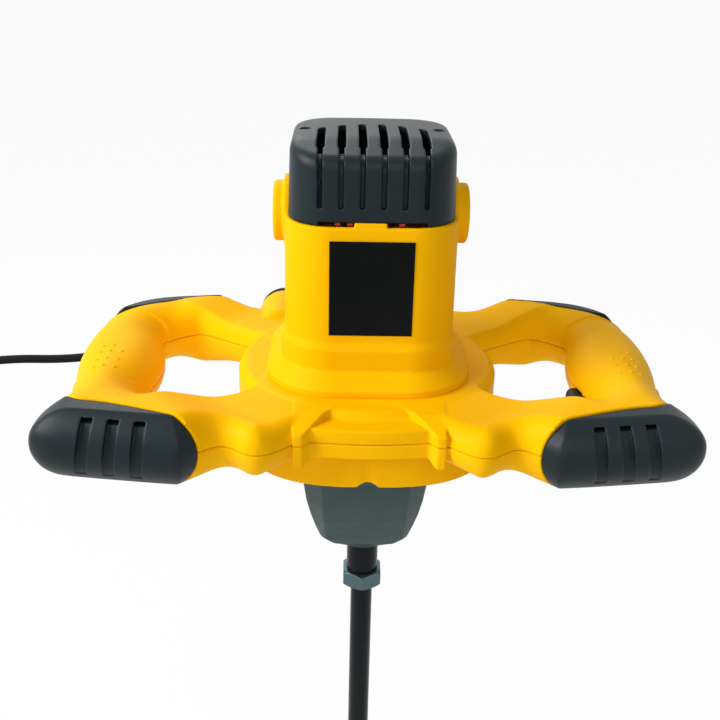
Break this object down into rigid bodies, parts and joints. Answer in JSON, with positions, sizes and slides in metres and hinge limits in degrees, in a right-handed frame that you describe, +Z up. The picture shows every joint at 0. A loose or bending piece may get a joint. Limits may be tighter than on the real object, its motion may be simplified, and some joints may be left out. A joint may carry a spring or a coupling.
{
  "type": "mixing drill",
  "caption": "Hand-held mixing drill with a motor above a two-grip ring handle, a gear case, a threaded mixing rod with a paddle, and a mains cord.",
  "frame": {"origin": "on the spindle axis at the parting plane of the handle, midway between the two grips", "axes": "+Z up along the spindle axis towards the motor, +X to the right-hand grip, +Y to the rear, where the cord leaves"},
  "size_m": [0.6077, 0.2946, 0.704],
  "materials": {
    "yellow_plastic": "fine satin moulding texture",
    "dark_plastic": "fine satin moulding texture",
    "black_plastic": "satin",
    "black_rubber": "matt",
    "cast_case": "grey coated die casting",
    "bare_steel": "machined",
    "zinc_plate": "zinc plated",
    "copper_wire": "enamelled copper wire",
    "carbon": "pressed carbon",
    "label_plate": "smooth",
    "black_paint": "gloss black",
    "brass": "drawn"
  },
  "bodies": {
    "housing": {"motor_housing": "yellow_plastic", "vent_cap": "dark_plastic", "rating_plate": "label_plate", "handle_upper_shell": "yellow_plastic", "handle_lower_shell": "yellow_plastic", "bumper_front_left": "dark_plastic", "bumper_front_right": "dark_plastic", "bumper_rear_left": "dark_plastic", "bumper_rear_right": "dark_plastic", "gear_plate": "cast_case", "gear_case": "cast_case", "case_gasket": "black_rubber", "stator_core": "bare_steel", "stator_coils": "copper_wire", "motor_bearing_top": "bare_steel", "motor_bearing_lower": "bare_steel", "countershaft_bearing_upper": "bare_steel", "countershaft_bearing_lower": "bare_steel", "spindle_bearing_upper": "bare_steel", "spindle_bearing_lower": "bare_steel", "spindle_seal": "black_rubber", "brush_holder_left": "brass", "brush_holder_right": "brass", "carbon_brush_left": "carbon", "carbon_brush_right": "carbon", "brush_spring_left": "bare_steel", "brush_spring_right": "bare_steel", "brush_cap_left": "black_plastic", "brush_cap_right": "black_plastic", "switch_body": "black_plastic", "speed_module": "black_plastic", "cord_sleeve": "black_rubber", "handle_screws": "bare_steel", "cap_screws": "bare_steel", "case_screws": "bare_steel", "trigger_spring": "bare_steel", "cord": "black_rubber", "cord_coil": "black_rubber", "coil_tie": "black_plastic", "plug_body": "black_rubber", "plug_pins": "brass"},
    "armature": {"armature_shaft": "bare_steel", "armature_core": "bare_steel", "armature_windings": "copper_wire", "commutator": "brass", "motor_fan": "black_plastic"},
    "countershaft": {"countershaft": "bare_steel", "countershaft_gear": "bare_steel"},
    "spindle": {"spindle": "bare_steel", "output_gear": "bare_steel", "spindle_key": "bare_steel", "retaining_ring": "bare_steel", "lock_nut": "zinc_plate", "mixing_rod": "black_paint", "paddle_lower_ring": "black_paint", "paddle_upper_ring": "black_paint", "paddle_blades": "black_paint"},
    "trigger": {"trigger": "black_plastic"},
    "lock_button": {"lock_button": "black_plastic"},
    "speed_dial": {"speed_dial": "black_plastic"}
  },
  "joints": [
    {"name": "spindle_spin", "type": "hinge", "parent": "housing", "child": "spindle", "pos_m": [0, 0, -0.1], "axis": [0, 0, 1], "continuous": true},
    {"name": "countershaft_spin", "type": "hinge", "parent": "housing", "child": "countershaft", "pos_m": [0, 0.027, -0.03], "axis": [0, 0, 1], "continuous": true},
    {"name": "armature_spin", "type": "hinge", "parent": "housing", "child": "armature", "pos_m": [0, 0, 0.05], "axis": [0, 0, 1], "continuous": true},
    {"name": "trigger_pull", "type": "slide", "parent": "housing", "child": "trigger", "axis": [1, 0, 0], "range_m": [0, 0.006], "stiffness_N_per_m": 600, "springref_m": -0.004, "deforming": ["trigger_spring"]},
    {"name": "lock_press", "type": "slide", "parent": "housing", "child": "lock_button", "axis": [0, 0, 1], "range_m": [0, 0.003], "stiffness_N_per_m": 400, "springref_m": -0.003},
    {"name": "dial_turn", "type": "hinge", "parent": "housing", "child": "speed_dial", "pos_m": [0.052, 0.088, -0.004], "axis": [0, 1, 0], "range_deg": [-135, 135]}
  ],
  "couplings": [
    {"joint": "countershaft_spin", "follows": "spindle_spin", "ratio": -2.6},
    {"joint": "armature_spin", "follows": "spindle_spin", "ratio": 13}
  ]
}
